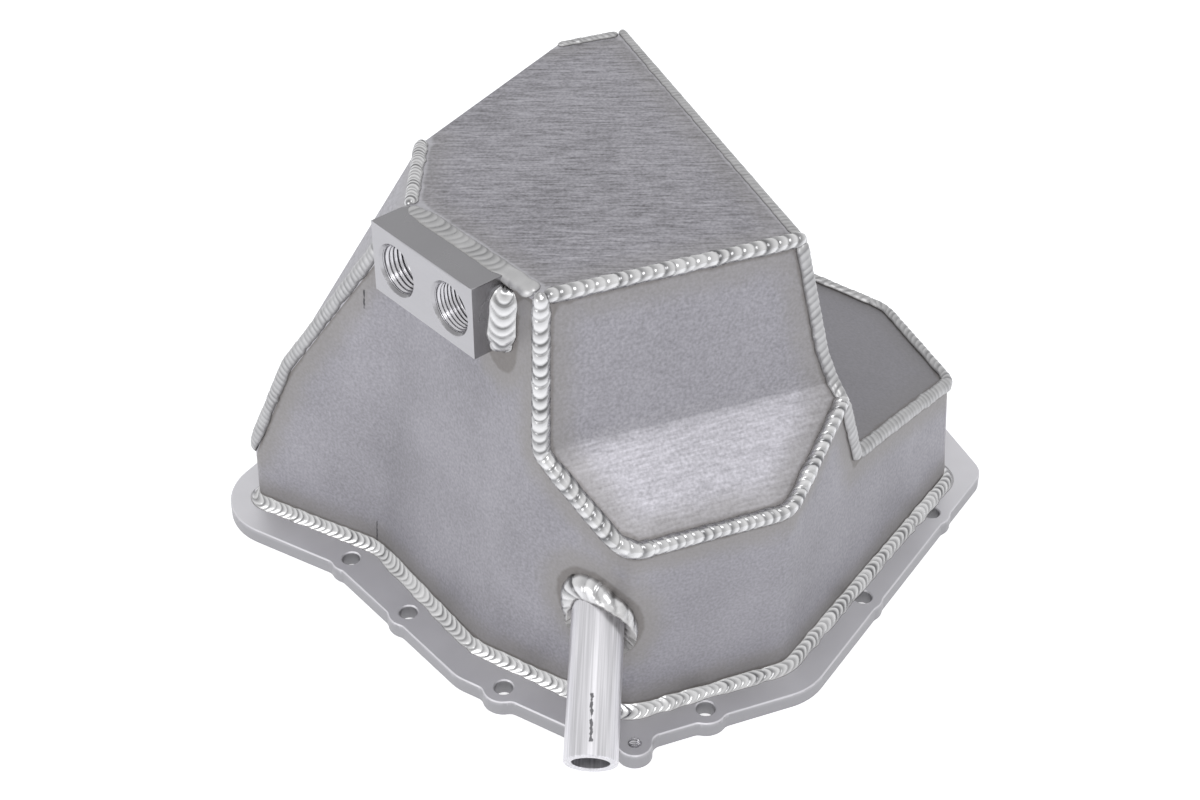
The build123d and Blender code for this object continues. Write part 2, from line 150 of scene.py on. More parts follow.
class Graph:
    """A tree of shader nodes."""

    STEEP, LEVEL = 0.2, 0.6

    def __init__(self, tree: NodeTree) -> None:
        """Empty the tree."""
        self.tree = tree
        self.tree.nodes.clear()

    def set_input(self, node: Node, key: int | str, value: object) -> None:
        """Feed one input of a node.

        Args:
            node: The node.
            key: The input's name or number.
            value: A signal or socket to link, or a value to set.
        """
        source = value.socket if isinstance(value, Signal) else value
        if isinstance(source, NodeSocket):
            self.tree.links.new(source, node.inputs[key])
        else:
            node.inputs[key].default_value = source

    def node(
        self,
        kind: str,
        settings: dict[str, object] | None = None,
        values: dict[int | str, object] | Sequence[object] = (),
    ) -> Node:
        """Make a node, set it up, and then feed its sockets.

        Args:
            kind: The node's type.
            settings: Attributes of the node.
            values: Values, signals or sockets, by input or in input order.

        Returns:
            The new node.
        """
        made = self.tree.nodes.new(kind)
        for key, value in (settings or {}).items():
            setattr(made, key, value)
        for key, value in values.items() if isinstance(values, dict) else enumerate(values):
            self.set_input(made, key, value)
        return made

    def signal(self, *made: object, output: int | str = 0) -> Signal:
        """Make a node, as the method node does, and return one of its outputs."""
        return Signal(self, self.node(*made).outputs[output])

    def vector(self, operation: str, *values: object) -> Node:
        """Make a Vector Math node and feed its inputs in order."""
        return self.node("ShaderNodeVectorMath", {"operation": operation}, values)

    def place(self) -> NodeSocket:
        """Return the point's place in the part's frame, in metres."""
        return self.node("ShaderNodeTexCoord").outputs["Object"]

    def stored(self, name: str) -> Signal:
        """Return the number that the mesh stores at each point under a name."""
        return self.signal("ShaderNodeAttribute", {"attribute_name": name}, output="Fac")

    def upward(self) -> Signal:
        """Return 0 on steep faces and 1 on those that face up."""
        return self.stored("tilt").step(self.STEEP, self.LEVEL)

    def noise(self, scale: Triple, detail: float = 2.0, turn: Triple = (0.0,) * 3) -> Signal:
        """Return noise with its own scale along each axis, between about 0 and 1.

        Args:
            scale: Cycles per metre along each axis.
            detail: Octaves of finer noise.
            turn: Rotation of the axes, in radians.

        Returns:
            The noise as a signal.
        """
        values = {"Vector": self.place(), "Rotation": turn}
        turned = self.node("ShaderNodeMapping", {}, values)
        stretched = self.vector("MULTIPLY", turned.outputs[0], scale)
        values = {"Vector": stretched.outputs[0], "Scale": 1.0, "Detail": detail}
        return self.signal("ShaderNodeTexNoise", {}, values)

    def mix(self, factor: Value, one: object, other: object) -> NodeSocket:
        """Return one colour, blended to another by a factor."""
        settings = {"data_type": "RGBA", "clamp_factor": True}
        return self.node("ShaderNodeMix", settings, {0: factor, 6: one, 7: other}).outputs[2]

    def shade(self, colour: tuple[float, ...], factor: Value) -> NodeSocket:
        """Return a colour made lighter or darker by a factor."""
        values = {0: colour[:3], "Scale": factor}
        return self.node("ShaderNodeVectorMath", {"operation": "SCALE"}, values).outputs[0]

    def seen(self) -> Signal:
        """Tell the rays that show the background, also in metal and glass.

        Returns:
            1 for those rays and 0 for the rest.
        """
        light = self.node("ShaderNodeLightPath")
        rays = ("Is Camera Ray", "Is Glossy Ray", "Is Transmission Ray")
        straight, glossy, through = (Signal(self, light.outputs[ray]) for ray in rays)
        return straight.larger(glossy).larger(through)


class Coat(Graph):
    """The nodes of one material, with a Principled shader on its output."""

    def __init__(self, name: str) -> None:
        """Make the material."""
        self.material = bpy.data.materials.new(name)
        self.material.use_nodes = True
        super().__init__(self.material.node_tree)
        self.shader = self.node("ShaderNodeBsdfPrincipled")
        self.output = self.node("ShaderNodeOutputMaterial", {}, [self.shader.outputs[0]])

    def feed(self, name: str, value: object) -> None:
        """Feed one input of the Principled shader."""
        self.set_input(self.shader, name, value)

    def bump(self, height: Signal, depth: float, strength: float) -> None:
        """Let a height, in units of a depth in metres, tilt the surface."""
        values = {"Strength": strength, "Distance": depth, "Height": height}
        self.feed("Normal", self.node("ShaderNodeBump", {}, values).outputs[0])


def grey(level: float, blue: float) -> tuple[float, ...]:
    """Return a grey with a touch of blue, as linear colour."""
    return (level, level * (1 - 0.25 * blue), level * (1 + 0.8 * blue), 1.0)


@dataclass(frozen=True)
class Mark:
    """A thin dark line in a surface. Its ends and half width are in millimetres."""

    start: Triple
    end: Triple
    half_width: float

    RAGGED_SCALE = (600.0,) * 3
    RAGGED_WIDTHS = 3.5
    CORE, EDGE = 0.5, 1.1
    INSIDE, OUTSIDE = 0.2 * MM, 0.4 * MM
    STRENGTH = 0.85
    COLOUR = (0.05, 0.05, 0.055, 1.0)

    def mask(self, graph: Graph) -> Signal:
        """Return 1 on the line and 0 beside it.

        Args:
            graph: The material's nodes.

        Returns:
            The mask, with a ragged edge.
        """
        start, run = Vector(self.start) * MM, (Vector(self.end) - Vector(self.start)) * MM
        along, width = tuple(run.normalized()), self.half_width * MM
        offset = graph.vector("SUBTRACT", graph.place(), tuple(start)).outputs[0]
        cross = graph.vector("CROSS_PRODUCT", offset, along).outputs[0]
        far = Signal(graph, graph.vector("DOT_PRODUCT", offset, along).outputs["Value"])
        aside = Signal(graph, graph.vector("LENGTH", cross).outputs["Value"])
        ragged = (graph.noise(self.RAGGED_SCALE) - 0.5) * (self.RAGGED_WIDTHS * width)
        begun = far.step(-self.OUTSIDE, self.INSIDE)
        ended = far.step(run.length - self.INSIDE, run.length + self.OUTSIDE)
        beside = (aside + ragged).step(self.CORE * width, self.EDGE * width)
        return (1 - beside) * (begun * (1 - ended))


def marked(graph: Graph, colour: NodeSocket, marks: Sequence[Mark]) -> NodeSocket:
    """Lay thin dark lines over a colour.

    Args:
        graph: The material's nodes.
        colour: The colour.
        marks: The lines.

    Returns:
        The colour with the lines laid over it.
    """
    for mark in marks:
        colour = graph.mix(mark.mask(graph) * mark.STRENGTH, colour, mark.COLOUR)
    return colour


@dataclass(frozen=True)
class SheetFinish:
    """Brushed or mill-finish aluminium sheet.

    Noise scales are in cycles per metre, and bands in millimetres from a weld.
    """

    name: str
    level: float
    speckle: float
    roughness: float = 0.42
    stroke_turn: Triple = (0.0, 0.0, 0.0)
    stroke_scale: Triple = (90.0, 2200.0, 2200.0)
    stroke_depth: float = 0.10
    cloud: float = 0.14
    toe_tone: Triple = (0.10, 0.085, 0.07)
    heat_tint: float = 0.25
    # lift paints light onto faces that face up, as painted light from above; fold_shade paints a
    # dark band where a fold turns from steep to level, as painted shade.
    lift: float = 0.0
    fold_shade: float = 0.0
    marks: tuple[Mark, ...] = ()

    BLUE, METALLIC = 0.08, 0.85
    CLOUD_SCALE, GRAIN_SCALE, WANDER_SCALE = (28.0,) * 3, (900.0,) * 3, (160.0,) * 3
    TOE_BAND, TOE_WANDER, TOE_TINT = (0.2, 1.6), 1.6, 0.4
    HEAT_BAND, HEAT_WANDER = (2.0, 13.0), 6.0
    STEEP_STROKES, UPWARD_STROKES = 0.7, 1.3
    STRAW = (0.88, 0.84, 0.79)
    BUMP_DEPTH, BUMP_STRENGTH = 0.00003, 0.5

    def build(self) -> Material:
        """Mix the finish.

        Returns:
            The material.
        """
        graph = Coat(self.name)
        strokes = graph.noise(self.stroke_scale, 3.0, self.stroke_turn)
        grain = graph.noise(self.GRAIN_SCALE)
        clouds = graph.noise(self.CLOUD_SCALE, 3.0)
        wander = graph.noise(self.WANDER_SCALE) - 0.5
        seam = graph.stored("seam_distance")
        toe = 1 - (seam + wander * self.TOE_WANDER).step(*self.TOE_BAND)
        heat = 1 - (seam + wander * self.HEAT_WANDER).step(*self.HEAT_BAND)
        upward = graph.upward()
        brushed = upward * self.UPWARD_STROKES + self.STEEP_STROKES
        tone = (
            1
            + (strokes - 0.5) * brushed * self.stroke_depth
            + (grain - 0.5) * (2 * self.speckle)
            + (clouds - 0.5) * (2 * self.cloud)
        )
        # Painted light and shade: faces that face up are brightened by lift, and the band where a
        # fold turns is darkened by fold_shade.
        if self.lift:
            fold = upward * (1 - upward) * (4 * self.fold_shade)
            tone = tone * (1 + upward * self.lift - fold)
        base = graph.shade(grey(self.level, self.BLUE), tone)
        straw = (*(self.level * share for share in self.STRAW), 1.0)
        tinted = graph.mix(heat * self.heat_tint, base, straw)
        toned = graph.mix(toe * self.TOE_TINT, tinted, (*self.toe_tone, 1.0))
        graph.feed("Base Color", marked(graph, toned, self.marks))
        graph.feed("Metallic", self.METALLIC)
        graph.feed("Roughness", self.roughness + (strokes - 0.5) * 0.16 + (clouds - 0.5) * 0.1)
        graph.bump(strokes + grain * 0.5, self.BUMP_DEPTH, self.BUMP_STRENGTH)
        return graph.material


@dataclass(frozen=True)
class MachinedFinish:
    """Bright milled plate, block or thread. Noise scales are in cycles per metre."""

    name: str
    level: float
    roughness: float
    metallic: float = 1.0
    lines: Triple = (60.0, 60.0, 2600.0)
    turn: Triple = (0.0, 0.0, 0.0)
    line_depth: float = 0.05
    # lift paints light by facing: faces that face up get lighter above 0 and darker below 0, as
    # painted light and shade.
    lift: float = 0.0
    marks: tuple[Mark, ...] = ()

    BLUE = 0.04
    CLOUD_SCALE = (45.0,) * 3
    BUMP_DEPTH, BUMP_STRENGTH = 0.00002, 0.4

    def build(self) -> Material:
        """Mix the finish.

        Returns:
            The material.
        """
        graph = Coat(self.name)
        lines = graph.noise(self.lines, 2.0, self.turn)
        clouds = graph.noise(self.CLOUD_SCALE, 3.0) - 0.5
        tone = 1 + (lines - 0.5) * (2 * self.line_depth) + clouds * 0.12
        # Painted light and shade: the tone changes with how far each face faces up.
        if self.lift:
            tone = tone * (1 + graph.upward() * self.lift)
        base = graph.shade(grey(self.level, self.BLUE), tone)
        graph.feed("Base Color", marked(graph, base, self.marks))
        graph.feed("Metallic", self.metallic)
        graph.feed("Roughness", self.roughness + clouds * 0.14)
        graph.bump(lines, self.BUMP_DEPTH, self.BUMP_STRENGTH)
        return graph.material


@dataclass(frozen=True)
class WeldFinish:
    """Solidified weld metal, with painted shade in the valleys where its ripples meet, and dark at
    its toes.
    """

    name: str
    level: float
    roughness: float
    # Strength of the painted shade in the ripple valleys, which stands in for their dark
    # reflections.
    valley: float
    toe: float = 0.5

    BLUE = 0.01
    PATCH_SCALE = (220.0,) * 3
    FINE_SCALE = (3000.0,) * 3
    # The colour of the painted shade in the ripple valleys.
    PAINTED_SHADE_TONE = (0.06, 0.06, 0.065, 1.0)
    TOE_TONE = (0.13, 0.115, 0.10, 1.0)
    BUMP_DEPTH, BUMP_STRENGTH = 0.00001, 0.3

    def build(self) -> Material:
        """Mix the finish.

        Returns:
            The material.
        """
        graph = Coat(self.name)
        toe = graph.stored("toe")
        patches = graph.noise(self.PATCH_SCALE) - 0.5
        fine = graph.noise(self.FINE_SCALE)
        tone = 1 + patches * 0.35 + (fine - 0.5) * 0.1
        base = graph.shade(grey(self.level, self.BLUE), tone)
        # Painted shade: the ripple valleys are darkened towards the shade colour.
        with_painted_shade = graph.mix(graph.stored("valley") * self.valley, base, self.PAINTED_SHADE_TONE)
        graph.feed("Base Color", graph.mix(toe * self.toe, with_painted_shade, self.TOE_TONE))
        graph.feed("Metallic", 1.0)
        graph.feed("Roughness", self.roughness + patches * 0.2 + toe * 0.2)
        graph.bump(fine, self.BUMP_DEPTH, self.BUMP_STRENGTH)
        return graph.material


class Finish(Enum):
    """The finishes of the pan's surfaces."""

    FLOOR = SheetFinish(
        "brushed_floor",
        0.295,
        stroke_turn=(0.0, 0.0, math.radians(21.7)),
        stroke_scale=(110.0, 1000.0, 1000.0),
        stroke_depth=0.8,
        speckle=0.5,
        toe_tone=(0.62, 0.62, 0.66),
    )
    WALL = SheetFinish(
        "mill_wall",
        0.305,
        roughness=0.5,
        stroke_scale=(400.0, 400.0, 900.0),
        stroke_depth=0.25,
        speckle=0.32,
        cloud=0.26,
        heat_tint=0.6,
        marks=(
            # Two thin dark lines on the wall; the lower one lies along the wall's crease, which the
            # mesh leaves smooth.
            Mark((-81.81, 132.3, 128.1), (-82.35, 132.45, 120.1), 0.4),
            Mark((-85.15, 129.24, 20.0), (-85.9, 129.2, 9.8), 0.3),
        ),
    )
    FRONT = SheetFinish(
        "folded_front",
        0.29,
        stroke_scale=(120.0, 1000.0, 1000.0),
        stroke_depth=0.35,
        speckle=0.4,
        heat_tint=0.5,
        # Painted light on the front panel's level shelf, and a band of painted shade along its
        # fold.
        lift=0.65,
        fold_shade=0.14,
    )
    WING = SheetFinish("wing_sheet", 0.215, speckle=0.2)
    # Painted light: the plate's top is painted lighter than its steep sides. Painted shade: the
    # block's top is painted darker than its face.
    PLATE = MachinedFinish("milled_plate", 0.34, roughness=0.45, metallic=0.7, lift=0.85)
    BLOCK = MachinedFinish("milled_block", 0.40, roughness=0.26, lift=-0.36)
    TUBE = MachinedFinish(
        "drawn_tube",
        0.61,
        roughness=0.36,
        lines=(25.0, 1300.0, 1300.0),
        turn=tuple(math.radians(turn) for turn in (-39.48, -25.9, 114.7)),
        line_depth=0.45,
        marks=(Mark((-49.96, -13.6, 45.8), (-55.96, -27.7, 38.4), 0.55),),
    )
    THREAD = MachinedFinish("cut_thread", 0.55, roughness=0.2)
    # The last number of each weld sets the painted shade in its ripple valleys.
    BRIGHT_WELD = WeldFinish("bright_weld", 0.68, roughness=0.24, valley=0.95)
    MATT_WELD = WeldFinish("matt_weld", 0.47, roughness=0.42, valley=0.6)


@cache
def material(finish: Finish) -> Material:
    """Return a finish's material, made once."""
    return finish.value.build()


def put_up(name: str, data: ID) -> Object:
    """Make an object and link it to the scene.

    Args:
        name: Its name.
        data: Its mesh, lamp or camera.

    Returns:
        The linked object.
    """
    made = bpy.data.objects.new(name, data)
    bpy.context.scene.collection.objects.link(made)
    return made


def meshed(name: str, points: Rows, faces: Sequence[Sequence[int]]) -> Mesh:
    """Make a mesh.

    Args:
        name: Its name.
        points: Its points, in metres.
        faces: Its faces, as point numbers.

    Returns:
        The mesh.
    """
    mesh = bpy.data.meshes.new(name)
    mesh.from_pydata([tuple(point) for point in points], [], faces)
    mesh.validate()
    return mesh


def make_piece(name: str, mesh: Mesh, finish: Finish) -> Object:
    """Make a smooth object that rides on the pan, and report it.

    Args:
        name: Its name.
        mesh: Its mesh.
        finish: Its finish.

    Returns:
        The linked object.
    """
    mesh.materials.clear()
    mesh.materials.append(material(finish))
    mesh.polygons.foreach_set("use_smooth", [True] * len(mesh.polygons))
    piece = put_up(name, mesh)
    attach(piece, BODY)
    LOG.info("%s: %d faces", name, len(mesh.polygons))
    return piece


def quads(rings: int, around: int, wraps: bool) -> list[tuple[int, ...]]:
    """Join rings of points with four-sided faces.

    Args:
        rings: How many rings there are.
        around: Points in each ring.
        wraps: Whether the last ring joins the first.

    Returns:
        The faces, as point numbers.
    """
    return [
        (
            ring * around + point,
            ring * around + (point + 1) % around,
            (ring + 1) % rings * around + (point + 1) % around,
            (ring + 1) % rings * around + point,
        )
        for ring in range(rings if wraps else rings - 1)
        for point in range(around)
    ]


def store(mesh: Mesh, name: str, values: Rows) -> None:
    """Store one number for each point of a mesh."""
    layer = mesh.attributes.new(name, "FLOAT", "POINT")
    layer.data.foreach_set("value", np.asarray(values, dtype=np.float32))


def unit(rows: Rows) -> Rows:
    """Return each row as a vector of length 1."""
    return rows / np.linalg.norm(rows, axis=1)[:, None]


def spokes(axis: Vector, count: int) -> list[Vector]:
    """Point outward from an axis at even angles.

    Args:
        axis: The axis.
        count: How many directions to return.

    Returns:
        The directions, of length 1.
    """
    across = axis.orthogonal().normalized()
    up = axis.cross(across)
    angles = [2 * math.pi * i / count for i in range(count)]
    return [across * math.cos(angle) + up * math.sin(angle) for angle in angles]


class PackedPan:
    """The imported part's meshes, with search trees of its metal and of its wall."""

    SEAT_FEELER, SEAT_GAP = 0.8 * MM, 0.2 * MM
    SEAT_PLACES = (0.2, 0.5, 0.8)
    AIR_FEELER, AIR_SPOKES = 1.2 * MM, 48

    def __init__(self) -> None:
        """Load the frame. The beads are left out of the search trees."""
        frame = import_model()
        self.nodes: dict[str, Object] = frame["nodes"]
        self.mounts = {mount["name"]: mount for mount in frame["record"]["mounts"]}
        self.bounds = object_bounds()
        self.surface = self._tree([name for name in self.nodes if not name.startswith("bead_")])
        self.wall = self._tree(["bent_side_wall"])

    def _tree(self, names: Sequence[str]) -> BVHTree:
        """Gather nodes in a search tree.

        Args:
            names: The nodes' names.

        Returns:
            The tree.
        """
        points: list[Vector] = []
        faces: list[list[int]] = []
        for name in names:
            mesh = self.nodes[name].data
            first = len(points)
            points += [vertex.co.copy() for vertex in mesh.vertices]
            faces += [[first + i for i in polygon.vertices] for polygon in mesh.polygons]
        return BVHTree.FromPolygons(points, faces)

    def is_seated(self, loop: bmesh.types.BMLoop) -> bool:
        """Tell whether a bead's face lies on metal all along one of its edges.

        Args:
            loop: The face's corner where the edge starts.

        Returns:
            Whether metal was found at each place.
        """
        start, end = loop.vert.co, loop.link_loop_next.vert.co
        inward = loop.face.normal.cross(end - start).normalized() * self.SEAT_FEELER
        return all(
            self.surface.find_nearest(start.lerp(end, share) + inward, self.SEAT_GAP)[0] is not None
            for share in self.SEAT_PLACES
        )

    def air_sector(self, place: Vector, along: Vector) -> tuple[Vector, float]:
        """Feel round a line for the side where there is no metal.

        Args:
            place: A point on the line.
            along: The line's direction.

        Returns:
            The direction of the open side's middle, and half of its angle.
        """
        free = []
        for spoke in spokes(along, self.AIR_SPOKES):
            point = place + spoke * self.AIR_FEELER
            nearest, normal, _, _ = self.surface.find_nearest(point)
            if (point - nearest).dot(normal) > 0:
                free.append((point - place).normalized())
        return sum(free, Vector()).normalized(), math.pi * len(free) / self.AIR_SPOKES


@dataclass(frozen=True)
class Stretch:
    """One straight stretch of a seam."""

    start: Vector
    end: Vector
    outward: Vector
    half_angle: float

    @property
    def length(self) -> float:
        """Return the stretch's length."""
        return (self.end - self.start).length

    def turned(self) -> "Stretch":
        """Return the stretch with its ends swapped."""
        return replace(self, start=self.end, end=self.start)

    def longer(self, by: float) -> "Stretch":
        """Return the stretch with its end moved on."""
        run = (self.end - self.start).normalized()
        return replace(self, end=self.end + run * by)


class Seam:
    """The line along which a weld bead joins two sheets, read from the bead in the frame."""

    MERGE = 0.01 * MM
    LEAST_TURN, MOST_TURN = math.radians(12), math.radians(150)
    SHORTEST = 0.3 * MM
    WIDEST_GAP = 9.0 * MM
    LEAST_GAP = 1e-6
    STUB, STUB_TURN = 7.0 * MM, math.radians(40)
    FAIR_OVER = 2.0 * MM
    SAME_LEVEL = 0.05 * MM
    FLAT_STOPS, FLAT_END = 40, 4.0 * MM
    RING_STOPS, RING_MOUTH, RING_GAP = 96, 70.0 * MM, 0.05 * MM
    LEAST_ROWS = 8

    def __init__(self, pan: PackedPan, weld: "Weld") -> None:
        """Find the seam of one bead.

        Args:
            pan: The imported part.
            weld: The bead, which tells how its seam runs.
        """
        self.name = weld.bead
        self.pan = pan
        self.mesh = pan.nodes[weld.bead].data
        if weld.ring_radius:
            self.stretches = self._ring(weld.ring_radius * MM)
            return
        self.stretches = self._flat() if weld.is_flat else self._corner()
        if weld.run_to:
            self._run_to(Vector(weld.run_to) * MM)
        self.stretches[0] = self.stretches[0].turned().longer(weld.overrun * MM).turned()
        self.stretches[-1] = self.stretches[-1].longer(weld.overrun * MM)

    def _run_to(self, place: Vector) -> None:
        """Run the nearer end on.

        Args:
            place: Where it runs to.
        """
        first, last = self.stretches[0], self.stretches[-1]
        if (first.start - place).length < (last.end - place).length:
            self.stretches.insert(0, replace(first, start=place, end=first.start))
        else:
            self.stretches.append(replace(last, start=last.end, end=place))

    def _through(self, places: Sequence[Vector]) -> list[Stretch]:
        """Join places, in order, with stretches that face the open side."""
        feel = self.pan.air_sector
        return [
            Stretch(start, end, *feel((start + end) / 2, (end - start).normalized()))
            for start, end in zip(places, places[1:])
        ]

    def _ring(self, radius: float) -> list[Stretch]:
        """Follow the line where the tube meets the bent wall.

        Args:
            radius: The tube's outer radius, in metres.

        Returns:
            Short stretches all the way round.
        """
        facts = self.pan.mounts["tube_bore"]
        axis = Vector(facts["axis"]).normalized()
        mouth = Vector(facts["pos_m"]) + axis * self.RING_MOUTH
        places = [
            self.pan.wall.ray_cast(mouth + spoke * (radius + self.RING_GAP), -axis)[0]
            for spoke in spokes(axis, self.RING_STOPS)
        ]
        return self._through([*places, places[0]])

    def _corner(self) -> list[Stretch]:
        """Collect the edges where the bead sits in or on a corner, and put them in order.

        Returns:
            The stretches in order.
        """
        work = bmesh.new()
        work.from_mesh(self.mesh)
        bmesh.ops.remove_doubles(work, verts=work.verts, dist=self.MERGE)
        work.normal_update()
        found: list[Stretch] = []
        for edge in work.edges:
            if len(edge.link_faces) != 2 or edge.calc_length() < self.SHORTEST:
                continue
            if not self.LEAST_TURN < edge.calc_face_angle() < self.MOST_TURN:
                continue
            if not all(self.pan.is_seated(loop) for loop in edge.link_loops):
                continue
            normals = [-face.normal for face in edge.link_faces]
            spread = normals[0].angle(normals[1]) / 2
            opening = math.pi / 2 + (-spread if edge.is_convex else spread)
            outward = (normals[0] + normals[1]).normalized()
            start, end = (vertex.co.copy() for vertex in edge.verts)
            found.append(Stretch(start, end, outward, opening))
        work.free()
        return self._in_order(found)

    def _in_order(self, found: list[Stretch]) -> list[Stretch]:
        """String stretches together, nearest end to nearest end.

        Args:
            found: The stretches in any order.

        Returns:
            The stretches that join up, each turned to run on from the one before it.
        """
        left = sorted(found, key=lambda part: part.length)
        chain = [left.pop()]
        while left:
            options = []
            for part in left:
                for turned in (part, part.turned()):
                    after, before = turned.start - chain[-1].end, turned.end - chain[0].start
                    options.append((after.length, True, part, turned))
                    options.append((before.length, False, part, turned))
            gap, is_after, part, turned = min(options, key=lambda option: option[0])
            if gap > self.WIDEST_GAP:
                break
            left.remove(part)
            neighbour = chain[-1] if is_after else chain[0]
            if (turned.end - turned.start).dot(neighbour.end - neighbour.start) < 0:
                continue
            chain.insert(len(chain) if is_after else 0, turned)
        if left:
            LOG.info("%s: %d stretches stand apart", self.name, len(left))
        while len(chain) > 1 and self._turns_off(chain[0], chain[1]):
            del chain[0]
        while len(chain) > 1 and self._turns_off(chain[-1], chain[-2]):
            del chain[-1]
        return self._bridged(chain)

    def _turns_off(self, last: Stretch, neighbour: Stretch) -> bool:
        """Tell whether the last stretch is a stub that leaves the line."""
        turn = (last.end - last.start).angle(neighbour.end - neighbour.start)
        return last.length < self.STUB and turn > self.STUB_TURN

    def _bridged(self, chain: Sequence[Stretch]) -> list[Stretch]:
        """Fill the gaps between stretches with stretches of their own.

        Args:
            chain: The stretches in order.

        Returns:
            The chain without gaps.
        """
        whole = [chain[0]]
        for part in chain[1:]:
            bridge = replace(part, start=whole[-1].end, end=part.start)
            whole += [bridge, part] if bridge.length > self.LEAST_GAP else [part]
        return whole

    def _flat(self) -> list[Stretch]:
        """Follow the middle of the bead's print on the sump's floor.

        Returns:
            Short stretches from end to end of the bead.
        """
        points = np.array([vertex.co for vertex in self.mesh.vertices])
        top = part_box("floor_and_back_panel")[1][2]
        footprint = points[np.abs(points[:, 2] - top) < self.SAME_LEVEL]
        middle = footprint.mean(axis=0)
        along = np.linalg.svd(footprint - middle)[2][0]
        reach = (footprint - middle) @ along
        low, high = reach.min() + self.FLAT_END, reach.max() - self.FLAT_END
        stops = np.linspace(low, high, self.FLAT_STOPS)
        return self._through([Vector(middle + along * stop) for stop in stops])

    def sample(self, spacing: float) -> tuple[Rows, ...]:
        """Return places, outward directions and half angles at an even spacing.

        Args:
            spacing: Metres between samples.

        Returns:
            Points, unit vectors and angles, faired round the bends.
        """
        parts = self.stretches
        stops = np.concatenate([[0.0], np.cumsum([part.length for part in parts])])
        count = max(self.LEAST_ROWS, round(stops[-1] / spacing))
        places = np.linspace(0.0, stops[-1], count + 1)
        which = np.searchsorted(stops, places, side="right") - 1
        which = np.clip(which, 0, len(parts) - 1)
        starts = np.array([part.start for part in parts])
        runs = np.array([(part.end - part.start).normalized() for part in parts])
        points = starts[which] + runs[which] * (places - stops[which])[:, None]
        outward = np.array([part.outward for part in parts])[which]
        angles = np.array([part.half_angle for part in parts])[which]
        window = max(1, round(self.FAIR_OVER / (stops[-1] / count)))
        closed = (parts[0].start - parts[-1].end).length < self.FAIR_OVER
        points = fair(points, window, closed)
        outward = fair(outward, 2 * window, closed)
        angles = fair(angles[:, None], 2 * window, closed)[:, 0]
        return points, unit(outward), angles


def fair(rows: Rows, window: int, closed: bool) -> Rows:
    """Average each row with its neighbours.

    Args:
        rows: The rows.
        window: Rows on each side.
        closed: Whether the last row meets the first.

    Returns:
        The averaged rows, with the ends of an open run kept.
    """
    if closed:
        padded = np.concatenate([rows[-window - 1 : -1], rows, rows[1 : window + 1]])
    else:
        head = 2 * rows[0] - rows[1 : window + 1][::-1]
        tail = 2 * rows[-1] - rows[-window - 1 : -1][::-1]
        padded = np.concatenate([head, rows, tail])
    kernel = np.ones(2 * window + 1) / (2 * window + 1)
    return np.stack([np.convolve(column, kernel, "valid") for column in padded.T], axis=1)


class Ripples:
    """The uneven ripples of one bead, drawn at random."""

    SPARE = 4
    PITCH_SPREAD, SIZE_SPREAD = 0.16, 0.25
    PALEST, DARKEST = 0.35, 1.0

    def __init__(self, travel: Rows, pitch: float, rng: np.random.Generator) -> None:
        """Draw the ripples.

        Args:
            travel: Distance along the bead at each row, in metres.
            pitch: Mean distance between ripples, in millimetres.
            rng: The source of small irregularities.
        """
        self.travel = travel
        count = int(travel[-1] / (pitch * MM)) + self.SPARE
        spread = rng.uniform(-self.PITCH_SPREAD, self.PITCH_SPREAD, count)
        stops = np.concatenate([[0.0], np.cumsum(1 + spread)]) * pitch * MM
        self.size = 1 + rng.uniform(-self.SIZE_SPREAD, self.SIZE_SPREAD, count + 2)
        self.swell = np.interp(travel, stops, rng.normal(0, 1, count + 1))
        # How dark each ripple's painted valley shade is.
        self.dark = rng.uniform(self.PALEST, self.DARKEST, count + 2)
        self.phase = np.interp(travel, stops, np.arange(count + 1))


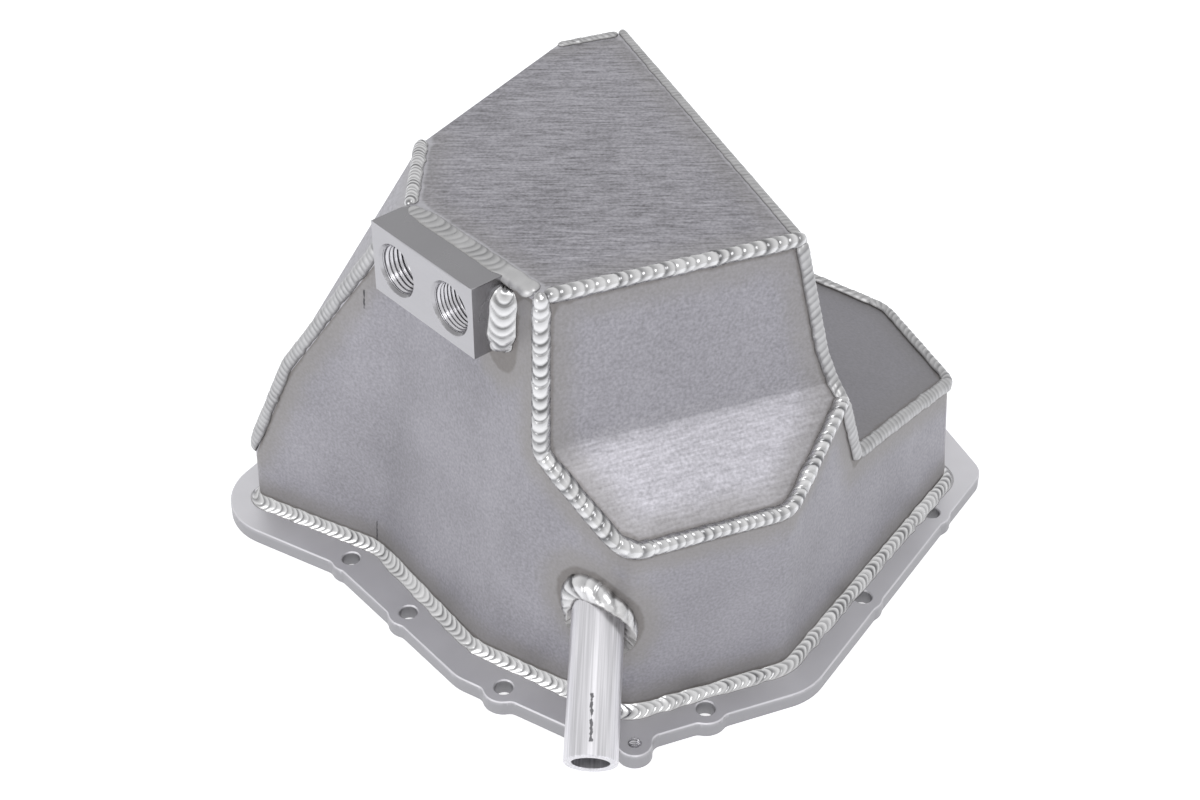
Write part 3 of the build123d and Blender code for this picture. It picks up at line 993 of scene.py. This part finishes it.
@dataclass(frozen=True)
class Weld:
    """One bead: its section, its ripples and its finish. Sizes are in millimetres."""

    bead: str
    half_width: float
    crown: float
    pitch: float
    depth: float = 0.34
    finish: Finish = Finish.BRIGHT_WELD
    wander: float = 0.06
    is_flat: bool = False
    overrun: float = 1.8
    run_to: Triple | None = None
    ring_radius: float = 0.0
    calm: float = 0.0

    COLUMNS = 20
    ROWS_PER_RIPPLE = 11
    BOW, SKEW = 1.2, 0.08
    RISE, FALL, LEVEL = 0.22, 0.6, 0.4
    CALM_FADE = 3.0
    BLUNT_END = 0.02
    LEAST_CROWN, ROOT = 0.1, 0.05
    CLOSED_GAP = 2.0
    # The width and back slope of the painted shade in each ripple valley.
    VALLEY_WIDTH, VALLEY_BACK = 0.45, 4

    def build(self, seam: Seam, rng: np.random.Generator) -> None:
        """Lay the bead along its seam. It stands for its node.

        Args:
            seam: The seam of the bead's node.
            rng: The source of small irregularities.
        """
        points, outward, angles = seam.sample(self.pitch * MM / self.ROWS_PER_RIPPLE)
        rows, around = len(points), self.COLUMNS + 2
        travel = np.arange(rows) * np.linalg.norm(np.diff(points, axis=0), axis=1).mean()
        closed = np.linalg.norm(points[0] - points[-1]) < self.CLOSED_GAP * MM
        tangents = unit(np.gradient(points, axis=0))
        outward = unit(outward - tangents * np.sum(outward * tangents, axis=1)[:, None])
        sideways = np.cross(tangents, outward)

        ripples = Ripples(travel, self.pitch, rng)
        across = np.linspace(-1, 1, self.COLUMNS + 1)
        centre, radius, sweep = self._arc(ripples, angles, closed)
        lift, valley = self._relief(ripples, across)
        turn = sweep[:, None] * across[None, :]
        reach_out = radius[:, None] + lift
        grid = (
            points[:, None, :]
            + sideways[:, None, :] * (np.sin(turn) * reach_out)[..., None]
            + outward[:, None, :] * (centre[:, None] + np.cos(turn) * reach_out)[..., None]
        )
        inner = points - outward * (self.ROOT * MM)
        ring = np.concatenate([grid, inner[:, None, :]], axis=1).reshape(-1, 3)
        faces = quads(rows, around, False)
        faces.append(tuple(range(around))[::-1])
        faces.append(tuple((rows - 1) * around + column for column in range(around)))
        name = self.bead + "_rippled"
        piece = make_piece(name, meshed(name, ring, faces), self.finish)
        pad = np.zeros((rows, 1))
        toe = np.repeat(np.abs(across[None, :]) ** 10, rows, axis=0)
        # Store the painted shade of the ripple valleys for the finish.
        store(piece.data, "valley", np.concatenate([valley, pad], axis=1).ravel())
        store(piece.data, "toe", np.concatenate([toe, pad + 1], axis=1).ravel())
        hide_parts(self.bead)

    def _arc(self, ripples: Ripples, angles: Rows, closed: bool) -> tuple[Rows, ...]:
        """Find the arc of the bead's section at each row.

        Args:
            ripples: The bead's rows and ripples.
            angles: Half of the open side's angle at each row.
            closed: Whether the bead runs in a ring.

        Returns:
            The arc's centre above the seam, its radius, and half of its sweep.
        """
        width = self.half_width * MM * (1 + self.wander * ripples.swell)
        crown = self.crown * MM * (1 + 0.5 * self.wander * ripples.swell)
        if not closed:
            reach = self.half_width * MM
            edge = np.minimum(ripples.travel, ripples.travel[-1] - ripples.travel)
            inside = (1 - np.clip(edge / reach, 0, 1)) ** 2
            dome = np.sqrt(np.clip(1 - inside, self.BLUNT_END, 1))
            width, crown = width * dome, crown * dome
        foot = width * np.cos(angles)
        crown = np.maximum(crown, foot + self.LEAST_CROWN * MM)
        centre = (crown**2 - width**2) / (2 * (crown - foot))
        return centre, crown - centre, np.arctan2(width * np.sin(angles), foot - centre)

    def _relief(self, ripples: Ripples, across: Rows) -> tuple[Rows, Rows]:
        """Shape the ripples, which bow forward in the bead's middle.

        Args:
            ripples: The bead's rows and ripples.
            across: Each column's place between the toes, from -1 to 1.

        Returns:
            How far the surface is lifted, in metres, and how much painted shade its valleys get.
        """
        bow = self.BOW * (1 - across**2) + self.SKEW * ripples.swell[:, None] * across[None, :]
        phase = ripples.phase[:, None] + 2 - bow
        index = np.floor(phase).astype(int)
        part = phase - index
        which = np.clip(index, 0, len(ripples.size) - 1)
        rise = np.clip(part / self.RISE, 0, 1)
        rise = rise * rise * (3 - 2 * rise)
        height = rise * (1 - part) ** self.FALL * ripples.size[which]
        fade = 1 - np.abs(across[None, :]) ** 6
        if self.calm:
            left = (ripples.travel[-1] - ripples.travel) / MM - self.calm
            fade = fade * np.clip(left, 0, self.CALM_FADE)[:, None] / self.CALM_FADE
        # Painted shade: each ripple valley is darkened, most where one ripple meets the next.
        depth = np.minimum(part, (1 - part) * self.VALLEY_BACK) / self.VALLEY_WIDTH
        valley = np.exp(-(depth**2)) * fade * ripples.dark[which]
        return (height - self.LEVEL) * self.depth * MM * fade, valley


WELDS = (
    Weld("bead_floor_front", 3.3, 1.9, 4.1),
    Weld("bead_front_left", 3.7, 2.2, 4.2),
    Weld("bead_front_foot", 3.3, 2.0, 3.4),
    Weld("bead_front_side", 3.0, 1.8, 2.9, 0.25, Finish.MATT_WELD, run_to=(65.5, 33.1, 106.5)),
    Weld("bead_block_top", 3.9, 1.4, 3.4, 0.3, Finish.MATT_WELD, is_flat=True, calm=15.0),
    Weld("bead_block_side", 7.2, 5.4, 4.4, 0.45, run_to=(-50.0, 63.9, 165.0)),
    Weld("bead_floor_corner", 3.1, 1.7, 2.1, 0.2, overrun=0.8),
    Weld("bead_floor_right", 2.3, 1.1, 2.2, 0.16, Finish.MATT_WELD),
    Weld("bead_floor_rear", 2.3, 1.2, 2.4, 0.16, Finish.MATT_WELD, overrun=0.0),
    Weld("bead_left_seam", 3.1, 1.8, 2.6, 0.22, Finish.MATT_WELD, overrun=0.5),
    Weld("bead_back_edge", 2.6, 1.4, 3.4, 0.2, Finish.MATT_WELD, overrun=0.0),
    Weld("bead_wing_corner", 3.2, 2.2, 3.4, 0.2, Finish.MATT_WELD),
    Weld("bead_wing_root", 3.2, 2.4, 3.4, 0.2, Finish.MATT_WELD),
    Weld("bead_wing_front", 3.1, 1.8, 2.8, 0.22, Finish.MATT_WELD),
    Weld("bead_wing_end", 3.1, 1.8, 3.2, 0.22, Finish.MATT_WELD),
    Weld("bead_wing_rear", 3.1, 1.8, 3.4, 0.25, Finish.MATT_WELD),
    Weld("bead_side_rear", 2.4, 1.3, 3.4, 0.2, Finish.MATT_WELD, overrun=0.0),
    Weld("bead_back_left", 3.2, 1.9, 3.4, 0.25, Finish.MATT_WELD),
    Weld("bead_back_right", 3.2, 1.9, 3.4, 0.25, Finish.MATT_WELD),
    Weld("bead_tube_collar", 6.0, 4.1, 4.0, 0.35, wander=0.03, ring_radius=9.525),
    Weld("bead_flange_front", 4.1, 3.0, 3.0, 0.32),
    Weld("bead_flange_rear", 3.9, 2.9, 3.4, 0.3),
)


@dataclass
class WeldedSeams:
    """All the weld beads of the pan."""

    pan: PackedPan
    seams: dict[str, Seam] = field(default_factory=dict)

    SAMPLE = 1.0 * MM

    def build(self) -> None:
        """Lay every bead, in order."""
        rng = np.random.default_rng(SEED)
        for weld in WELDS:
            self.seams[weld.bead] = Seam(self.pan, weld)
            weld.build(self.seams[weld.bead], rng)

    def near(self) -> tuple[KDTree, list[float]]:
        """Gather points along the seams.

        Returns:
            A search tree of the points, and the bead's half width at each, in metres.
        """
        rows = [
            (point, weld.half_width * MM)
            for weld in WELDS
            for point in self.seams[weld.bead].sample(self.SAMPLE)[0]
        ]
        tree = KDTree(len(rows))
        for index, (point, _) in enumerate(rows):
            tree.insert(point, index)
        tree.balance()
        return tree, [width for _, width in rows]


@dataclass
class SheetWork:
    """The bent and folded sheets, the flange, the block and the tube.

    A search tree gives the nearest point of a seam, and widths its bead's half width.
    """

    pan: PackedPan
    near: KDTree
    widths: Sequence[float]
    grid: float = 5.0 * MM
    crease: float = math.radians(25)
    soft_crease: float = math.radians(65)
    soft: dict[str, float] = field(default_factory=lambda: {"folded_front_panel": 8.0})
    finishes: dict[str, Finish] = field(
        default_factory=lambda: {
            "floor_and_back_panel": Finish.FLOOR,
            "bent_side_wall": Finish.WALL,
            "folded_front_panel": Finish.FRONT,
            "sump_side_panel": Finish.WALL,
            "wing_top": Finish.WING,
            "back_wall": Finish.WALL,
            "flange_plate": Finish.PLATE,
            "port_block": Finish.BLOCK,
            "tube_stub": Finish.TUBE,
        }
    )

    MERGE = 0.002 * MM
    CUT_GAP = 1e-7
    SAME_PLANE = 0.99999
    LEAST_RIM, LEAST_WEIGHT = 1e-9, 1e-18
    TAKEN = -1.0

    def build(self) -> None:
        """Dress each node with a finer copy of its mesh."""
        for name, finish in self.finishes.items():
            mesh = self._refined(name)
            piece = make_piece(name + "_dressed", mesh, finish)
            self._level_flats(mesh, self.soft.get(name, 0.0) * MM)
            self._measure(mesh)
            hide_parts(name)

    def _refined(self, name: str) -> Mesh:
        """Copy a node's mesh and cut it along a grid.

        Args:
            name: The node's name.

        Returns:
            The finer mesh.
        """
        mesh = self.pan.nodes[name].data.copy()
        work = bmesh.new()
        work.from_mesh(mesh)
        bmesh.ops.remove_doubles(work, verts=work.verts, dist=self.MERGE)
        low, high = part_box(name)
        for axis, normal in enumerate(Matrix.Identity(3)):
            for place in np.arange(low[axis] + self.grid / 3, high[axis], self.grid):
                bmesh.ops.bisect_plane(
                    work,
                    geom=work.verts[:] + work.edges[:] + work.faces[:],
                    dist=self.CUT_GAP,
                    plane_co=normal * place,
                    plane_no=normal,
                )
        work.to_mesh(mesh)
        work.free()
        return mesh

    def _measure(self, mesh: Mesh) -> None:
        """Store how far each point is from a weld, and how far it faces up.

        Args:
            mesh: The mesh.
        """
        distances = []
        for vertex in mesh.vertices:
            _, index, distance = self.near.find(vertex.co)
            distances.append((distance - self.widths[index]) / MM)
        store(mesh, "seam_distance", np.array(distances))
        tilt, corners = np.zeros(len(mesh.vertices)), np.zeros(len(mesh.vertices))
        for loop, corner in zip(mesh.loops, mesh.corner_normals):
            tilt[loop.vertex_index] += corner.vector.z
            corners[loop.vertex_index] += 1
        store(mesh, "tilt", tilt / np.maximum(corners, 1))

    def _level_flats(self, mesh: Mesh, blend: float) -> None:
        """Shade broad flats as flat and let the bends beside them run into them.

        Args:
            mesh: The mesh that gets the normals.
            blend: How far a fold's light and shade reach into its flats, in metres.
        """
        work = bmesh.new()
        work.from_mesh(mesh)
        faces = work.faces
        faces.ensure_lookup_table()
        if blend:
            limit = math.cos(self.soft_crease)
            weights = [face.calc_area() for face in faces]
            facing = self._blended(faces, weights, blend, limit)
        else:
            limit = math.cos(self.crease)
            weights = self._breadths(faces)
            facing = [face.normal.copy() for face in faces]
        normals = []
        for face in faces:
            for loop in face.loops:
                total = Vector()
                for other in loop.vert.link_faces:
                    if other.normal.dot(face.normal) > limit:
                        total += facing[other.index] * weights[other.index]
                normals.append(total.normalized() if total.length else face.normal.copy())
        work.free()
        mesh.normals_split_custom_set(normals)

    def _breadths(self, faces: bmesh.types.BMFaceSeq) -> list[float]:
        """Weigh each face by how broad the flat is that it belongs to.

        Args:
            faces: The faces.

        Returns:
            The weights, which grow steeply with the flat's area over its rim.
        """
        weights = [0.0] * len(faces)
        for seed in faces:
            if weights[seed.index]:
                continue
            weights[seed.index] = self.TAKEN
            patch, area, rim = [seed], 0.0, 0.0
            for face in patch:
                area += face.calc_area()
                for edge in face.edges:
                    beside = [other for other in edge.link_faces if other is not face]
                    if not beside or beside[0].normal.dot(seed.normal) <= self.SAME_PLANE:
                        rim += edge.calc_length()
                    elif not weights[beside[0].index]:
                        weights[beside[0].index] = self.TAKEN
                        patch.append(beside[0])
            for face in patch:
                weights[face.index] = (area / max(rim, self.LEAST_RIM)) ** 4 + self.LEAST_WEIGHT
        return weights

    @staticmethod
    def _blended(
        faces: bmesh.types.BMFaceSeq, areas: Sequence[float], reach: float, limit: float
    ) -> list[Vector]:
        """Blend the directions of neighbouring faces.

        Args:
            faces: The faces.
            areas: Their areas.
            reach: How far away a neighbour may be, in metres.
            limit: The least cosine of the angle to a neighbour.

        Returns:
            A direction for each face.
        """
        centres = KDTree(len(faces))
        for face in faces:
            centres.insert(face.calc_center_median(), face.index)
        centres.balance()
        facing = []
        for face in faces:
            found = centres.find_range(face.calc_center_median(), reach)
            close = [i for _, i, _ in found if faces[i].normal.dot(face.normal) > limit]
            total = sum((faces[i].normal * areas[i] for i in close), Vector())
            facing.append(total.normalized())
        return facing


@dataclass(frozen=True)
class Thread:
    """A thread in a hole that the record's mount places. Sizes are in millimetres."""

    name: str
    mount: str
    pitch: float
    depth: float
    start: float = 0.2
    length: float = 14.0
    inward: float = 0.5

    AROUND, ROWS_PER_TURN = 72, 8
    WALL_GAP, CREST_GAP = 0.01, 0.03

    def build(self, mounts: dict[str, dict]) -> None:
        """Turn the thread into a closed sleeve that lines the hole.

        Args:
            mounts: The record's mounts, by name.
        """
        facts = mounts[self.mount]
        radius, hole = facts["dims"]["r_mm"], facts["dims"]["length_mm"]
        axis = Vector(facts["axis"]).normalized()
        mouth = Vector(facts["pos_m"]) + axis * (self.inward * hole * MM)
        rows = round(self.length / self.pitch * self.ROWS_PER_TURN)
        frame = axis.to_track_quat("Z", "Y").to_matrix()
        angle = np.linspace(0, 2 * np.pi, self.AROUND, endpoint=False)
        deep = np.arange(rows + 1) * self.pitch / self.ROWS_PER_TURN
        turns = deep[:, None] / self.pitch + angle[None, :] / (2 * np.pi)
        groove = np.abs((turns % 1) * 2 - 1)
        ends = np.clip(np.minimum(deep, self.length - deep) / self.pitch, 0, 1)[:, None]
        inside = radius - self.CREST_GAP - self.depth * (1 - groove) * ends
        outside = np.full((1, self.AROUND), radius - self.WALL_GAP)
        radii = np.concatenate([outside, inside, outside], axis=0)
        depths = self.start + np.concatenate([[0.0], deep, [self.length]])
        heights = np.repeat(-depths[:, None], self.AROUND, axis=1)
        local = np.stack([radii * np.cos(angle), radii * np.sin(angle), heights], axis=-1)
        points = np.array(mouth) + local.reshape(-1, 3) @ np.array(frame).T * MM
        mesh = meshed(self.name, points, quads(len(radii), self.AROUND, True))
        make_piece(self.name, mesh, Finish.THREAD)


THREADS = (
    Thread("pipe_thread", "pipe_port", 1.81, 1.0),
    Thread("metric_thread", "metric_port", 1.5, 0.85),
    Thread("ear_thread_turns", "ear_thread", 1.0, 0.5, start=0.4, length=5.6, inward=0.0),
)


@dataclass
class Studio:
    """A pale floor, soft lamps and the photograph's camera. Sizes are in metres."""

    camera_place: Triple = (-0.2337, -0.4823, 0.56035)
    heading: tuple[float, float] = (0.370, 0.929)
    dip: float = math.radians(37.6)
    lens: float = 62.4
    middle: Triple = (0.015, 0.09, 0.06)
    floor_half: float = 6.0
    floor_level: float = -0.0002
    floor_colour: tuple[float, ...] = (0.93, 0.93, 0.94, 1.0)
    floor_glow: float = 0.5
    room_colour: tuple[float, ...] = (0.97, 0.98, 1.0, 1.0)
    room_light: float = 0.72

    def build(self) -> None:
        """Set up the floor, the world, the lamps and the camera."""
        self._floor()
        self._world()
        self._lamp("key", (-0.25, -0.75, 1.45), 0.6, 5.5)
        self._lamp("side", (-1.5, -0.35, 0.5), 0.7, 4.0)
        self._camera()
        bpy.context.scene.view_settings.view_transform = "Standard"

    def _floor(self) -> None:
        """Lay the floor just under the gasket face."""
        graph = Coat("studio_floor")
        graph.feed("Base Color", self.floor_colour)
        graph.feed("Roughness", 0.9)
        graph.feed("Specular IOR Level", 0.0)
        plain = graph.shader.outputs[0]
        glow = graph.node("ShaderNodeEmission", {}, {"Strength": self.floor_glow})
        lit = graph.node("ShaderNodeAddShader", {}, [plain, glow.outputs[0]])
        chosen = graph.node("ShaderNodeMixShader", {}, [graph.seen(), plain, lit.outputs[0]])
        graph.set_input(graph.output, "Surface", chosen.outputs[0])
        mesh = bpy.data.meshes.new("floor")
        signs = ((-1, -1), (1, -1), (1, 1), (-1, 1))
        corners = [(x * self.floor_half, y * self.floor_half, self.floor_level) for x, y in signs]
        mesh.from_pydata(corners, [], [(0, 1, 2, 3)])
        mesh.materials.append(graph.material)
        floor = put_up("floor", mesh)
        floor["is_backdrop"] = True

    def _world(self) -> None:
        """Light the room evenly, and show white behind the part."""
        world = bpy.data.worlds.new("studio")
        bpy.context.scene.world = world
        world.use_nodes = True
        graph = Graph(world.node_tree)
        room = {"Color": self.room_colour, "Strength": self.room_light}
        white = {"Color": (1.0, 1.0, 1.0, 1.0), "Strength": 1.0}
        shades = [graph.node("ShaderNodeBackground", {}, look).outputs[0] for look in (room, white)]
        chosen = graph.node("ShaderNodeMixShader", {}, [graph.seen(), *shades])
        graph.node("ShaderNodeOutputWorld", {}, [chosen.outputs[0]])

    def _lamp(self, name: str, place: Sequence[float], size: float, watts: float) -> None:
        """Hang one soft lamp that faces the part.

        Args:
            name: Its name.
            place: Where it hangs.
            size: Its side.
            watts: Its power.
        """
        data = bpy.data.lights.new(name, "AREA")
        data.size = size
        data.energy = watts
        lamp = put_up(name, data)
        lamp.location = place
        aim = Vector(self.middle) - Vector(place)
        lamp.rotation_euler = aim.to_track_quat("-Z", "Y").to_euler()

    def _camera(self) -> None:
        """Stand the camera where the photograph was taken."""
        data = bpy.data.cameras.new("camera")
        data.lens = self.lens
        data.clip_start = 0.01
        camera = put_up("camera", data)
        camera.location = self.camera_place
        run = math.cos(self.dip)
        aim = Vector((self.heading[0] * run, self.heading[1] * run, -math.sin(self.dip)))
        camera.rotation_euler = aim.to_track_quat("-Z", "Y").to_euler()
        bpy.context.scene.camera = camera


def main() -> None:
    """Dress the pan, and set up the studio."""
    logging.basicConfig(level=logging.INFO, format="%(name)s: %(message)s")
    pan = PackedPan()
    seams = WeldedSeams(pan)
    seams.build()
    SheetWork(pan, *seams.near()).build()
    for thread in THREADS:
        thread.build(pan.mounts)
    Studio().build()
    bpy.context.view_layer.update()


if __name__ == "__main__":
    main()
